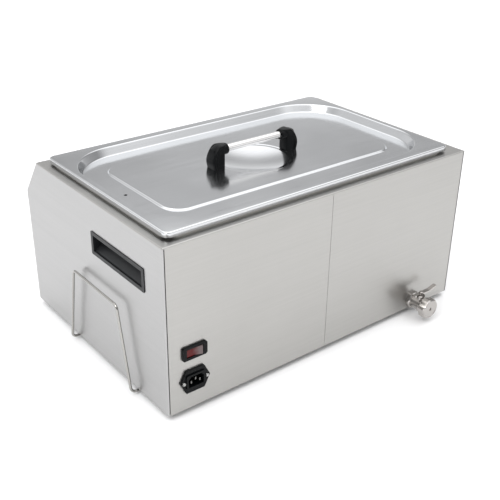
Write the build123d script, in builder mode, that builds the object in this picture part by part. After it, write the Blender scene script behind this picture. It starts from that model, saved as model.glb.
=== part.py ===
from build123d import *
import math
import os

os.makedirs("parts", exist_ok=True)

# Paraffin wax bath: a stainless sheet casing around a lift-out-lid wax tank, heated from below.
# Millimetres, +Z up. The control fascia faces -Y, the drain tap, switch and mains inlet are on
# the +Y face. The origin is on the table, under the middle of the whole object's box.

# ---- casing ---------------------------------------------------------------------------------
case_width = 570.0
case_depth = 398.0
case_height = 257.0
foot_height = 10.0
sheet = 1.0
bend = 2.0
fascia_run = 47.0
fascia_drop = 60.0
seam_gap = 1.3
stand_reach = 12.0
cup_lip = 1.2
tap_reach = 43.0

case_x = (cup_lip - stand_reach) / 2
case_y = -tap_reach / 2
left = case_x - case_width / 2
right = case_x + case_width / 2
front = case_y - case_depth / 2
back = case_y + case_depth / 2
floor_z = foot_height
deck_z = foot_height + case_height
deck_front = front + fascia_run

# ---- lid and tank ---------------------------------------------------------------------------
lid_length = 530.0
lid_width = 325.0
lid_corner = 10.0
lid_sheet = 0.8
lid_rise = 11.0
lid_skirt = 7.5
well_length = 512.0
well_width = 292.0
well_corner = 84.0
well_depth = 13.0
well_run = 6.5
plateau_length = 420.0
plateau_width = 192.0
plateau_corner = 28.0
plateau_height = 2.2
plateau_run = 3.0
dish_radius = 58.0
dish_depth = 8.0

tank_x = case_x + 6.5
tank_y = (deck_front + back) / 2
tank_length = 515.0
tank_width = 310.0
tank_corner = 9.0
tank_depth = 150.0
tank_floor = deck_z - tank_depth
collar_length = 525.0
collar_width = 320.0
collar_corner = 22.0
lid_top = deck_z + lid_rise
collar_top = lid_top - lid_sheet
well_floor = lid_top - well_depth
plateau_top = well_floor + plateau_height

# ---- drain tap: everything is turned about one horizontal axis --------------------------------
tap_x = case_x - 195.0
tap_z = floor_z + 15.0
drain_y = back - 60.0
pipe_radius = 6.0
pipe_bore = 5.0
tail_radius = 9.0
ball_radius = 7.0
ball_y = back + 20.0
stem_radius = 3.0
lever_z = tap_z + 18.5
lever_thickness = 3.0

# ---- mains inlet and switch -------------------------------------------------------------------
inlet_x = case_x + 242.0
inlet_z = floor_z + 45.5
switch_x = case_x + 241.5
switch_z = floor_z + 91.0

# ---- handle cups ------------------------------------------------------------------------------
cup_y = case_y + 83.0
cup_z = floor_z + 191.0
cup_length = 140.0
cup_height = 36.0
cup_depth = 15.0

# ---- wire lid stand ---------------------------------------------------------------------------
wire = 4.0
stand_x = right + stand_reach - wire / 2
stand_foot_z = floor_z - 4.0
stand_top_z = floor_z + 127.5
stand_y = case_y + 28.0
stand_top_half = 62.5
stand_foot_half = 89.5
stand_foot_run = 70.0
stand_bend = 8.0
clip_xs = (right - 20.0, right - 48.0)
clip_ys = (stand_y - stand_foot_half, stand_y + stand_foot_half)
clip_top = floor_z + sheet
clip_sheet = 1.2
clip_screw_offset = 9.0
clip_screw_radius = 1.3

# ---- control fascia: its own plane, with local Y up the slope ----------------------------------
fascia = Plane(
    origin=(case_x, front + fascia_run / 2, deck_z - fascia_drop / 2),
    x_dir=(1, 0, 0),
    z_dir=(0, -fascia_drop, fascia_run),
)
bezel_length = 170.0
bezel_width = 50.0
bezel_thickness = 2.5
window_x = -42.0
window_length = 62.0
window_width = 26.0
key_radius = 5.8
key_places = {"power_key": 10.0, "set_key": 28.0, "down_key": 46.0, "up_key": 64.0}


def span(low, high):
    """Middle and length of an interval."""
    return (low + high) / 2, high - low


def block(x_range, y_range, z_range, mode=Mode.ADD):
    """A rectangular block between two corners, in the piece being built."""
    x, dx = span(*x_range)
    y, dy = span(*y_range)
    z, dz = span(*z_range)
    with Locations((x, y, z)):
        Box(dx, dy, dz, mode=mode)


def tube_y(x, z, y_range, radius, mode=Mode.ADD):
    """A cylinder along Y between two stations, in the piece being built."""
    y, length = span(*y_range)
    with Locations(Location((x, y, z), (90, 0, 0))):
        Cylinder(radius, length, mode=mode)


def tube_z(x, y, z_range, radius, mode=Mode.ADD):
    """A cylinder along Z between two heights, in the piece being built."""
    z, length = span(*z_range)
    with Locations((x, y, z)):
        Cylinder(radius, length, mode=mode)


def rounded_slab(length, width, radius, z_range, mode=Mode.ADD):
    """A slab with rounded corners, centred on the tank, between two heights."""
    with BuildSketch(Plane.XY.offset(z_range[0])) as outline:
        with Locations((tank_x, tank_y)):
            RectangleRounded(length, width, radius)
    extrude(outline.sketch, amount=z_range[1] - z_range[0], mode=mode)


def hex_prism_y(x, z, y_range, across_flats, turn=0.0, mode=Mode.ADD):
    """A hexagonal prism along Y, one flat downwards when turn is 0."""
    plane = Plane(origin=(x, y_range[0], z), x_dir=(1, 0, 0), z_dir=(0, -1, 0))
    with BuildSketch(plane) as outline:
        RegularPolygon(across_flats / 2, 6, major_radius=False, rotation=turn)
    extrude(outline.sketch, amount=y_range[0] - y_range[1], mode=mode)


# ================================ casing =========================================================
# The top deck rolls over the ends and the back; its opening clears the tank.
deck_opening_gap = 1.0
with BuildPart() as top_deck:
    block((left, right), (deck_front, back), (deck_z - bend, deck_z))
    rolled = top_deck.faces().sort_by(Axis.Z)[-1].edges()
    rolled = rolled.sort_by(Axis.Y)[1:]
    fillet(rolled, radius=bend - 0.1)
    block(
        (left + sheet, right - sheet),
        (deck_front, back - sheet),
        (deck_z - bend, deck_z - sheet),
        mode=Mode.SUBTRACT,
    )
    rounded_slab(
        tank_length + 2 * sheet + 2 * deck_opening_gap,
        tank_width + 2 * sheet + 2 * deck_opening_gap,
        tank_corner + sheet + deck_opening_gap,
        (deck_z - bend, deck_z),
        mode=Mode.SUBTRACT,
    )

# End panels: a pentagon pressed as a shallow tray, with a flange along the bottom.
panel_top = deck_z - bend
slope_top_y = deck_front - fascia_run * bend / fascia_drop
end_outline = [
    (front, floor_z),
    (back, floor_z),
    (back, panel_top),
    (slope_top_y, panel_top),
    (front, deck_z - fascia_drop),
]
flange_width = 12.0
flange_inset = 16.0
cup_cut_length = cup_length - 8.0
cup_cut_height = cup_height - 8.0
base_screw_ys = (case_y - 130.0, case_y + 5.0, case_y + 145.0)
base_screw_radius = 1.5


def end_panel(side, outer_x):
    """One end panel; side is +1 for the +X end and -1 for the -X end."""
    inner_x = outer_x - side * bend
    with BuildPart() as panel:
        with BuildSketch(Plane.YZ.offset(inner_x)):
            Polygon(*end_outline, align=None)
        extrude(amount=side * bend)
        outside = panel.faces().sort_by(Axis.X)[-1 if side > 0 else 0].edges()
        bends = [edge for edge in outside if abs(edge.center().Z - floor_z) > 1]
        bends = [edge for edge in bends if abs(edge.center().Z - panel_top) > 1]
        fillet(bends, radius=1.4)
        with BuildSketch(Plane.YZ.offset(inner_x)):
            Polygon(*end_outline, align=None)
            offset(amount=-sheet, kind=Kind.INTERSECTION, mode=Mode.REPLACE)
        extrude(amount=side * (bend - sheet), mode=Mode.SUBTRACT)
        inner_wall = outer_x - side * sheet
        flange_x = sorted((inner_wall, inner_wall - side * flange_width))
        block(flange_x, (front + flange_inset, back - flange_inset), (floor_z, floor_z + sheet))
        for y in base_screw_ys:
            tube_z(
                inner_wall - side * 6.5,
                y,
                (floor_z - 1, floor_z + 2),
                base_screw_radius + 0.1,
                mode=Mode.SUBTRACT,
            )
        wall_x = sorted((outer_x - side * 3, outer_x + side * 3))
        cup_ys = (cup_y - cup_cut_length / 2, cup_y + cup_cut_length / 2)
        cup_zs = (cup_z - cup_cut_height / 2, cup_z + cup_cut_height / 2)
        block(wall_x, cup_ys, cup_zs, mode=Mode.SUBTRACT)
    return panel


right_end_panel = end_panel(1, right)
left_end_panel = end_panel(-1, left)

# The rear panel is in two halves that meet in the middle.
rear_y = (back - sheet, back)
rear_z = (floor_z, panel_top)
rear_outer = bend + seam_gap
rear_joint = 0.25
with BuildPart() as rear_panel_right:
    block((case_x + rear_joint, right - rear_outer), rear_y, rear_z)
    block(
        (inlet_x - 14.2, inlet_x + 14.2),
        (back - 5, back + 5),
        (inlet_z - 10.7, inlet_z + 10.7),
        mode=Mode.SUBTRACT,
    )
    for side in (-1, 1):
        tube_y(inlet_x + side * 19, inlet_z, (back - 5, back + 5), 1.7, mode=Mode.SUBTRACT)
    block(
        (switch_x - 16.2, switch_x + 16.2),
        (back - 5, back + 5),
        (switch_z - 8.4, switch_z + 8.4),
        mode=Mode.SUBTRACT,
    )

with BuildPart() as rear_panel_left:
    block((left + rear_outer, case_x - rear_joint), rear_y, rear_z)
    tube_y(tap_x, tap_z, (back - 5, back + 5), tail_radius + 0.2, mode=Mode.SUBTRACT)

# A strip behind the middle joint, and angles inside the two rear corners behind the end seams.
angle_leg = 14.0
strip_half = 15.0
with BuildPart() as rear_joint_strips:
    strip_x = (case_x - strip_half, case_x + strip_half)
    block(strip_x, (back - 2 * sheet, back - sheet), (floor_z + 4, panel_top - 4))
    for side, wall in ((1, right), (-1, left)):
        legs_x = sorted((wall - side * angle_leg, wall - side * sheet))
        thin_x = sorted((wall - side * 2 * sheet, wall - side * sheet))
        heights = (floor_z + 4, panel_top - 2)
        block(legs_x, (back - 2 * sheet, back - sheet), heights)
        block(thin_x, (back - angle_leg, back - 2 * sheet), heights)

# The front panel is one sheet, bent back at the top to make the sloped control fascia.
slope = math.atan2(fascia_drop, fascia_run)
sheet_rise = sheet / math.cos(slope)
front_outline = [
    (front, floor_z),
    (front, deck_z - fascia_drop),
    (deck_front, deck_z),
    (deck_front, deck_z - sheet_rise),
    (front + sheet, deck_z - fascia_drop - sheet_rise + sheet * fascia_drop / fascia_run),
    (front + sheet, floor_z),
]
bezel_cut_length = bezel_length - 11.0
bezel_cut_width = bezel_width - 9.0
with BuildPart() as front_panel:
    with BuildSketch(Plane.YZ.offset(left + rear_outer)):
        Polygon(*front_outline, align=None)
    extrude(amount=case_width - 2 * rear_outer)
    with BuildSketch(fascia.offset(-5)):
        Rectangle(bezel_cut_length, bezel_cut_width)
    extrude(amount=10, mode=Mode.SUBTRACT)

# Base plate: lies on the end panels' flanges, with vents under the electronics.
base_z = (floor_z + sheet, floor_z + 2 * sheet)
foot_x = case_width / 2 - 40.0
foot_y = case_depth / 2 - 39.0
with BuildPart() as base_plate:
    block((left + 1.3, right - 1.3), (front + 1.3, back - 2.3), base_z)
    with BuildSketch(Plane.XY.offset(floor_z)):
        with Locations((case_x, front + 60)):
            with GridLocations(0, 12, 1, 5):
                SlotOverall(160, 5)
    extrude(amount=5, mode=Mode.SUBTRACT)
    with Locations((case_x, case_y, floor_z + sheet)):
        with GridLocations(2 * foot_x, 2 * foot_y, 2, 2):
            Cylinder(2.1, 10, mode=Mode.SUBTRACT)
    for side, wall in ((1, right), (-1, left)):
        for y in base_screw_ys:
            x = wall - side * (sheet + 6.5)
            tube_z(x, y, (floor_z, floor_z + 5), base_screw_radius, mode=Mode.SUBTRACT)
    for x in clip_xs:
        for y in clip_ys:
            for end in (-clip_screw_offset, clip_screw_offset):
                tube_z(x, y + end, (floor_z, floor_z + 5), clip_screw_radius, mode=Mode.SUBTRACT)

with BuildPart() as base_screws:
    for side, wall in ((1, right), (-1, left)):
        for y in base_screw_ys:
            x = wall - side * (sheet + 6.5)
            tube_z(x, y, (floor_z - 1.8, floor_z), 2.9)
            tube_z(x, y, (floor_z, floor_z + 7), base_screw_radius)

# Rubber feet: slightly conical, with a deep recess for the screw.
foot_top_z = floor_z + sheet
with BuildPart() as rubber_feet:
    with BuildSketch(Plane.XY):
        with Locations((case_x, case_y)):
            with GridLocations(2 * foot_x, 2 * foot_y, 2, 2):
                Circle(12)
    extrude(amount=foot_top_z, taper=5)
    fillet(rubber_feet.edges().group_by(Axis.Z)[0], radius=1.0)
    with Locations((case_x, case_y, 0)):
        with GridLocations(2 * foot_x, 2 * foot_y, 2, 2):
            Cylinder(2.2, 4 * foot_top_z, mode=Mode.SUBTRACT)
            Cylinder(5, 8, mode=Mode.SUBTRACT)

with BuildPart() as foot_screws:
    with Locations((case_x, case_y, 0)):
        with GridLocations(2 * foot_x, 2 * foot_y, 2, 2):
            with Locations((0, 0, 2.6)):
                Cylinder(4.2, 2.8)
            with Locations((0, 0, 10)):
                Cylinder(2.0, 12)

# ================================ tank ===========================================================
# The collar stands up round the deck opening and carries the lid.
with BuildPart() as deck_collar:
    rounded_slab(collar_length, collar_width, collar_corner, (deck_z, collar_top))
    fillet(deck_collar.faces().sort_by(Axis.Z)[-1].edges(), radius=0.9)
    rounded_slab(
        collar_length - 2 * sheet,
        collar_width - 2 * sheet,
        collar_corner - sheet,
        (deck_z, collar_top - sheet),
        mode=Mode.SUBTRACT,
    )
    rounded_slab(
        tank_length + 2 * sheet,
        tank_width + 2 * sheet,
        tank_corner + sheet,
        (deck_z, collar_top),
        mode=Mode.SUBTRACT,
    )

# The tank is a welded box with a radius all round its floor, a drain hole and a probe hole.
floor_radius = 8.0
probe_x = tank_x + 90.0
probe_z = tank_floor + 12.0
tank_front = tank_y - tank_width / 2
with BuildPart() as tank_hollow:
    rounded_slab(tank_length, tank_width, tank_corner, (tank_floor, collar_top))
    fillet(tank_hollow.faces().sort_by(Axis.Z)[0].edges(), radius=floor_radius)

with BuildPart() as wax_tank:
    rounded_slab(
        tank_length + 2 * sheet,
        tank_width + 2 * sheet,
        tank_corner + sheet,
        (tank_floor - sheet, collar_top),
    )
    fillet(wax_tank.faces().sort_by(Axis.Z)[0].edges(), radius=floor_radius + sheet)
    add(tank_hollow.part, mode=Mode.SUBTRACT)
    tube_z(tap_x, drain_y, (tank_floor - 3, tank_floor + 3), pipe_bore, mode=Mode.SUBTRACT)
    tube_y(probe_x, probe_z, (tank_front - 5, tank_front + 5), 3.0, mode=Mode.SUBTRACT)

# Protective grid: keeps hands and feet off the heated floor.
grid_length = 492.0
grid_width = 288.0
grid_thickness = 1.2
grid_lift = 24.0
grid_z = tank_floor + grid_lift
grid_leg_height = grid_lift - grid_thickness
with BuildPart() as protective_grid:
    rounded_slab(grid_length, grid_width, 14, (grid_z - grid_thickness, grid_z))
    with Locations((tank_x, tank_y, grid_z)):
        with GridLocations(30, 30, 15, 9):
            Cylinder(7, 5, mode=Mode.SUBTRACT)
    with Locations((tank_x, tank_y, tank_floor + grid_leg_height / 2)):
        with GridLocations(grid_length - 48, grid_width - 12, 2, 2):
            Box(26, grid_thickness, grid_leg_height)


# Heater mat under the tank, insulation below it, and an insulation board on each tank wall.
heater_length = 376.0
heater_width = 240.0
heater_z = (tank_floor - sheet - 2.5, tank_floor - sheet)
with BuildPart() as heater_mat:
    rounded_slab(heater_length, heater_width, 12, heater_z)

with BuildPart() as bottom_insulation:
    rounded_slab(heater_length - 6, heater_width - 6, 10, (heater_z[0] - 8, heater_z[0]))

wrap = 3.0
wrap_z = (tank_floor + 28, deck_z - 12)
wrap_half_x = tank_length / 2 + sheet
wrap_half_y = tank_width / 2 + sheet
board_half_x = tank_length / 2 - tank_corner
board_half_y = tank_width / 2 - tank_corner
with BuildPart() as side_insulation:
    for side in (-1, 1):
        thickness_y = sorted((tank_y + side * wrap_half_y, tank_y + side * (wrap_half_y + wrap)))
        block((tank_x - board_half_x, tank_x + board_half_x), thickness_y, wrap_z)
        thickness_x = sorted((tank_x + side * wrap_half_x, tank_x + side * (wrap_half_x + wrap)))
        block(thickness_x, (tank_y - board_half_y, tank_y + board_half_y), wrap_z)

# Temperature probe through the front wall below the grid, and a disc cut-out beside it.
with BuildPart() as temperature_probe:
    tube_y(probe_x, probe_z, (tank_front - 14, tank_front + 45), 3.0)
    tube_y(probe_x, probe_z, (tank_front - 14, tank_front - sheet), 5.5)

with BuildPart() as thermal_cutout:
    cutout_back = tank_front - sheet
    tube_y(tank_x - 60, probe_z, (cutout_back - 2, cutout_back), 11)
    tube_y(tank_x - 60, probe_z, (cutout_back - 9, cutout_back - 2), 8)

# ================================ drain ==========================================================
# One bent pipe falls from the tank floor and turns to the back; it ends inside the tap's tail.
pipe_end = back - 4.0
pipe_bend = 18.0
with BuildPart() as drain_pipe:
    with BuildLine() as pipe_route:
        FilletPolyline(
            (tap_x, drain_y, tank_floor - sheet),
            (tap_x, drain_y, tap_z),
            (tap_x, pipe_end, tap_z),
            radius=pipe_bend,
        )
    with BuildSketch(Plane(origin=(tap_x, drain_y, tank_floor - sheet), z_dir=(0, 0, -1))):
        Circle(pipe_radius)
        Circle(pipe_bore, mode=Mode.SUBTRACT)
    sweep(path=pipe_route.line)

# Tap body: threaded tail through the rear panel, ball housing, and a boss for the stem.
housing_y = (back + 8, back + 29)
housing_radius = 11.0
seat_y = back + 11.0
cavity_radius = 7.5
boss_top = tap_z + 14.0
with BuildPart() as tap_body:
    tube_y(tap_x, tap_z, (back - 16, housing_y[0]), tail_radius)
    tube_y(tap_x, tap_z, housing_y, housing_radius)
    tube_z(tap_x, ball_y, (tap_z, boss_top), 6.5)
    tube_y(tap_x, tap_z, (back - 16, pipe_end), pipe_radius, mode=Mode.SUBTRACT)
    tube_y(tap_x, tap_z, (pipe_end, seat_y), pipe_bore, mode=Mode.SUBTRACT)
    tube_y(tap_x, tap_z, (seat_y, housing_y[1]), cavity_radius, mode=Mode.SUBTRACT)
    tube_z(tap_x, ball_y, (tap_z, boss_top), stem_radius + 0.04, mode=Mode.SUBTRACT)

with BuildPart() as tap_wall_nut:
    hex_prism_y(tap_x, tap_z, (back, back + 8), 27)
    fillet(tap_wall_nut.edges().filter_by(Axis.Y), radius=1.5)
    tube_y(tap_x, tap_z, (back - 1, back + 9), tail_radius, mode=Mode.SUBTRACT)

with BuildPart() as tap_gasket:
    tube_y(tap_x, tap_z, (back - sheet - 1.5, back - sheet), 12)
    tube_y(tap_x, tap_z, (back - 5, back), tail_radius, mode=Mode.SUBTRACT)

with BuildPart() as tap_lock_nut:
    hex_prism_y(tap_x, tap_z, (back - sheet - 7.5, back - sheet - 1.5), 24)
    tube_y(tap_x, tap_z, (back - 10, back), tail_radius, mode=Mode.SUBTRACT)

# Two sealing rings, hollowed to the ball, and the outlet nipple that holds them in.
seat_faces = ((seat_y, ball_y - 4.5), (ball_y + 4.5, back + 28))
with BuildPart() as tap_seats:
    for faces in seat_faces:
        tube_y(tap_x, tap_z, faces, cavity_radius)
    tube_y(tap_x, tap_z, (seat_y, back + 28), pipe_bore, mode=Mode.SUBTRACT)
    with Locations((tap_x, ball_y, tap_z)):
        Sphere(ball_radius + 0.05, mode=Mode.SUBTRACT)

nipple_y = (back + 28, back + 39)
nipple_radius = cavity_radius
with BuildPart() as tap_nipple:
    tube_y(tap_x, tap_z, nipple_y, nipple_radius)
    tube_y(tap_x, tap_z, nipple_y, pipe_bore, mode=Mode.SUBTRACT)

# Ball, stem and lever turn together. At rest the bore lies across the flow: the tap is shut.
ball_flat = 6.0
with BuildPart() as tap_ball:
    with Locations((tap_x, ball_y, tap_z)):
        Sphere(ball_radius)
        with Locations(Location((0, 0, 0), (0, 90, 0))):
            Cylinder(4.0, 4 * ball_radius, mode=Mode.SUBTRACT)
    block(
        (tap_x - 9, tap_x + 9),
        (ball_y - 9, ball_y + 9),
        (tap_z + ball_flat, tap_z + 9),
        mode=Mode.SUBTRACT,
    )

with BuildPart() as tap_stem:
    tube_z(tap_x, ball_y, (tap_z + ball_flat, lever_z + lever_thickness), stem_radius)
    tube_z(tap_x, ball_y, (lever_z - 3, lever_z + 9), 1.2, mode=Mode.SUBTRACT)

with BuildPart() as tap_gland_nut:
    with BuildSketch(Plane.XY.offset(boss_top)):
        with Locations((tap_x, ball_y)):
            RegularPolygon(5.5, 6, major_radius=False)
            Circle(stem_radius + 0.3, mode=Mode.SUBTRACT)
    extrude(amount=3.6)

lever_half = 16.0
lever_tip = 33.0
lever_rise = 4.5
with BuildPart() as tap_lever:
    with BuildSketch(Plane.XZ.offset(-ball_y - 3.5)):
        with BuildLine():
            Polyline(
                (tap_x + lever_half, lever_z),
                (tap_x + lever_half, lever_z + lever_thickness),
                (tap_x - lever_half, lever_z + lever_thickness),
                (tap_x - lever_tip, lever_z + lever_thickness + lever_rise),
                (tap_x - lever_tip, lever_z + lever_rise),
                (tap_x - lever_half, lever_z),
                close=True,
            )
        make_face()
    extrude(amount=7)
    fillet(tap_lever.edges().filter_by(Axis.Z), radius=2.4)
    tube_z(tap_x, ball_y, (lever_z - 1, lever_z + 9), stem_radius, mode=Mode.SUBTRACT)

with BuildPart() as tap_lever_screw:
    head_z = lever_z + lever_thickness
    tube_z(tap_x, ball_y, (head_z, head_z + 2.0), 3.6)
    fillet(tap_lever_screw.faces().sort_by(Axis.Z)[-1].edges(), radius=1.0)
    tube_z(tap_x, ball_y, (lever_z - 3, head_z), 1.2)

# Outlet cap: a hexagon with its corners turned off, drilled for a key, over a flat gasket.
cap_y = (back + 29.5, back + tap_reach)
cap_radius = 17.5
cap_floor = back + 40.0
with BuildPart() as tap_cap:
    hex_prism_y(tap_x, tap_z, cap_y, 32.0, turn=15)
    tube_y(tap_x, tap_z, cap_y, cap_radius, mode=Mode.INTERSECT)
    fillet(tap_cap.faces().sort_by(Axis.Y)[-1].edges(), radius=1.0)
    tube_y(tap_x, tap_z, (cap_y[0], cap_floor), nipple_radius + 0.3, mode=Mode.SUBTRACT)
    hex_prism_y(tap_x, tap_z, (cap_floor + 0.8, cap_y[1]), 4.5, mode=Mode.SUBTRACT)

with BuildPart() as tap_cap_gasket:
    tube_y(tap_x, tap_z, (nipple_y[1] + 0.2, cap_floor), nipple_radius)
    tube_y(tap_x, tap_z, (nipple_y[1], cap_floor), pipe_bore, mode=Mode.SUBTRACT)

# ================================ mains inlet and switch =========================================
rear_view = Plane(origin=(inlet_x, back, inlet_z), x_dir=(-1, 0, 0), z_dir=(0, 1, 0))
inlet_face = 5.0
flange_thickness = 3.0
inlet_outline = [(-15, 18), (15, 18), (24, 0), (15, -18), (-15, -18), (-24, 0)]
pin_places = ((-7.0, -1.8), (7.0, -1.8), (0.0, 2.2))
with BuildPart() as inlet_body:
    with BuildSketch(rear_view) as inlet_flange:
        Polygon(*inlet_outline, align=None)
        fillet(inlet_flange.vertices(), radius=1.5)
    extrude(amount=flange_thickness)
    with BuildSketch(rear_view.offset(flange_thickness)):
        RectangleRounded(31, 23, 3)
    extrude(amount=inlet_face - flange_thickness)
    with BuildSketch(rear_view.offset(-24)):
        Rectangle(28, 21)
    extrude(amount=24)
    with BuildSketch(rear_view.offset(-11)):
        with BuildLine():
            Polyline(
                (-12.3, -8.3),
                (12.3, -8.3),
                (12.3, 4.3),
                (8.3, 8.3),
                (-8.3, 8.3),
                (-12.3, 4.3),
                close=True,
            )
        make_face()
    extrude(amount=11 + inlet_face, mode=Mode.SUBTRACT)
    with BuildSketch(rear_view.offset(-24)):
        with Locations(*pin_places):
            Rectangle(2, 4)
    extrude(amount=14, mode=Mode.SUBTRACT)
    for side in (-1, 1):
        tube_y(inlet_x + side * 19, inlet_z, (back - 1, back + 4), 1.6, mode=Mode.SUBTRACT)

with BuildPart() as inlet_pins:
    with BuildSketch(rear_view.offset(-33)):
        with Locations(*pin_places):
            Rectangle(2, 4)
    extrude(amount=33 + 3)

with BuildPart() as inlet_screws:
    for side in (-1, 1):
        x = inlet_x + side * 19
        tube_y(x, inlet_z, (back + flange_thickness, back + flange_thickness + 1.8), 3.0)
        tube_y(x, inlet_z, (back - 6, back + flange_thickness), 1.6)

# Rocker switch: the rocker is cut to a circle about its pivot so that it turns in its well.
switch_view = Plane(origin=(switch_x, back, switch_z), x_dir=(-1, 0, 0), z_dir=(0, 1, 0))
switch_face = 3.0
pivot_y = back - 2.0
rocker_radius = 13.0
rocker_half_width = 6.2
rocker_low = 1.6
rocker_tilt = 20.0
pivot_pin = 1.5
with BuildPart() as switch_housing:
    with BuildSketch(switch_view):
        Rectangle(40, 21)
    extrude(amount=switch_face)
    chamfer(switch_housing.edges().filter_by(Axis.Y), length=2.5)
    with BuildSketch(switch_view.offset(-20)):
        Rectangle(32, 16.4)
    extrude(amount=20)
    with BuildSketch(switch_view.offset(-11)):
        Rectangle(2 * rocker_radius + 0.8, 2 * rocker_half_width + 0.6)
    extrude(amount=20, mode=Mode.SUBTRACT)
    tube_z(
        switch_x,
        pivot_y,
        (switch_z - 7.8, switch_z + 7.8),
        pivot_pin + 0.05,
        mode=Mode.SUBTRACT,
    )

rocker_rise = rocker_radius * math.tan(math.radians(rocker_tilt))
with BuildPart() as switch_rocker:
    with BuildSketch(Plane.XY.offset(switch_z - rocker_half_width)):
        with Locations((switch_x, pivot_y)):
            Circle(rocker_radius)
        with BuildLine():
            Polyline(
                (switch_x + 20, pivot_y - 5),
                (switch_x + 20, back + rocker_low),
                (switch_x, back + rocker_low),
                (switch_x - rocker_radius, back + rocker_low + rocker_rise),
                (switch_x - 20, back + rocker_low + rocker_rise),
                (switch_x - 20, pivot_y - 5),
                close=True,
            )
        make_face(mode=Mode.INTERSECT)
    extrude(amount=2 * rocker_half_width)
    tube_z(switch_x, pivot_y, (switch_z - 7.5, switch_z + 7.5), pivot_pin)

with BuildPart() as switch_terminals:
    with BuildSketch(switch_view.offset(-29)):
        with GridLocations(11, 8, 2, 2):
            Rectangle(0.8, 5)
    extrude(amount=9)

# ================================ handle cups ====================================================
cup_wall = 1.5


def handle_cup(side, outer_x):
    """A moulded finger cup let into an end panel; its floor slopes up to a deep top."""
    body_length = cup_cut_length - 0.6
    body_height = cup_cut_height - 0.6
    inner_x = outer_x - side * cup_depth
    mouth_x = outer_x + side * 2
    low = cup_z - body_height / 2 + cup_wall
    high = cup_z + body_height / 2 - cup_wall
    with BuildPart() as cup:
        block(
            sorted((outer_x, outer_x + side * cup_lip)),
            (cup_y - cup_length / 2, cup_y + cup_length / 2),
            (cup_z - cup_height / 2, cup_z + cup_height / 2),
        )
        fillet(cup.edges().filter_by(Axis.X), radius=2.0)
        block(
            sorted((inner_x, outer_x)),
            (cup_y - body_length / 2, cup_y + body_length / 2),
            (cup_z - body_height / 2, cup_z + body_height / 2),
        )
        cavity_length = body_length - 2 * cup_wall
        cavity_plane = Plane(origin=(0, cup_y - cavity_length / 2, 0), x_dir=(1, 0, 0), z_dir=(0, -1, 0))
        with BuildSketch(cavity_plane):
            with BuildLine():
                Polyline(
                    (mouth_x, low),
                    (outer_x - side * 2, low),
                    (inner_x + side * cup_wall, low + 9),
                    (inner_x + side * cup_wall, high),
                    (mouth_x, high),
                    close=True,
                )
            make_face()
        extrude(amount=-cavity_length, mode=Mode.SUBTRACT)
    return cup


right_handle_cup = handle_cup(1, right)
left_handle_cup = handle_cup(-1, left)

# ================================ wire lid stand =================================================
stand_points = [
    (right - stand_foot_run, stand_y + stand_foot_half, stand_foot_z),
    (stand_x, stand_y + stand_foot_half, stand_foot_z),
    (stand_x, stand_y + stand_top_half, stand_top_z),
    (stand_x, stand_y - stand_top_half, stand_top_z),
    (stand_x, stand_y - stand_foot_half, stand_foot_z),
    (right - stand_foot_run, stand_y - stand_foot_half, stand_foot_z),
]
with BuildPart() as lid_stand:
    with BuildLine() as stand_route:
        FilletPolyline(*stand_points, radius=stand_bend)
    with BuildSketch(Plane(origin=stand_points[0], z_dir=(1, 0, 0))):
        Circle(wire / 2)
    sweep(path=stand_route.line)

# Saddle clips under the casing guide the stand's two feet.
with BuildPart() as stand_clips:
    for x in clip_xs:
        for y in clip_ys:
            block((x - 5, x + 5), (y - 12.5, y + 12.5), (clip_top - clip_sheet, clip_top))
            block((x - 5, x + 5), (y - 4, y + 4), (stand_foot_z - 3.4, clip_top - clip_sheet))
            with Locations(Location((x, y, stand_foot_z), (0, 90, 0))):
                Cylinder(wire / 2 + 0.3, 12, mode=Mode.SUBTRACT)
            for end in (-clip_screw_offset, clip_screw_offset):
                tube_z(x, y + end, (clip_top - 3, clip_top + 3), clip_screw_radius, mode=Mode.SUBTRACT)

with BuildPart() as stand_clip_screws:
    for x in clip_xs:
        for y in clip_ys:
            for end in (-clip_screw_offset, clip_screw_offset):
                head_z = (clip_top - clip_sheet - 1.8, clip_top - clip_sheet)
                tube_z(x, y + end, head_z, 2.6)
                tube_z(x, y + end, (head_z[1], clip_top + 4), clip_screw_radius)

# ================================ lid ============================================================
form_bottom = deck_z - 20.0


def lid_form(inset, drop):
    """Everything under the lid's top skin; the lid is this form less the same form inset."""
    top = lid_top - drop
    with BuildPart() as form:
        rounded_slab(
            lid_length - 2 * inset,
            lid_width - 2 * inset,
            lid_corner - inset,
            (form_bottom - drop, top),
        )
        fillet(form.faces().sort_by(Axis.Z)[-1].edges(), radius=2.4 - drop)
        with BuildSketch(Plane.XY.offset(top)):
            with Locations((tank_x, tank_y)):
                RectangleRounded(well_length, well_width, well_corner)
        extrude(
            amount=-well_depth,
            taper=math.degrees(math.atan2(well_run, well_depth)),
            mode=Mode.SUBTRACT,
        )
        with BuildSketch(Plane.XY.offset(top - well_depth)):
            with Locations((tank_x, tank_y)):
                RectangleRounded(
                    plateau_length + 2 * plateau_run,
                    plateau_width + 2 * plateau_run,
                    plateau_corner + plateau_run,
                )
        extrude(
            amount=plateau_height,
            taper=math.degrees(math.atan2(plateau_run, plateau_height)),
        )
        dish_sphere = (dish_radius**2 + dish_depth**2) / (2 * dish_depth)
        with Locations((tank_x, tank_y, top - well_depth + plateau_height - dish_depth + dish_sphere)):
            Sphere(dish_sphere, mode=Mode.SUBTRACT)
    return form


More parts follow.
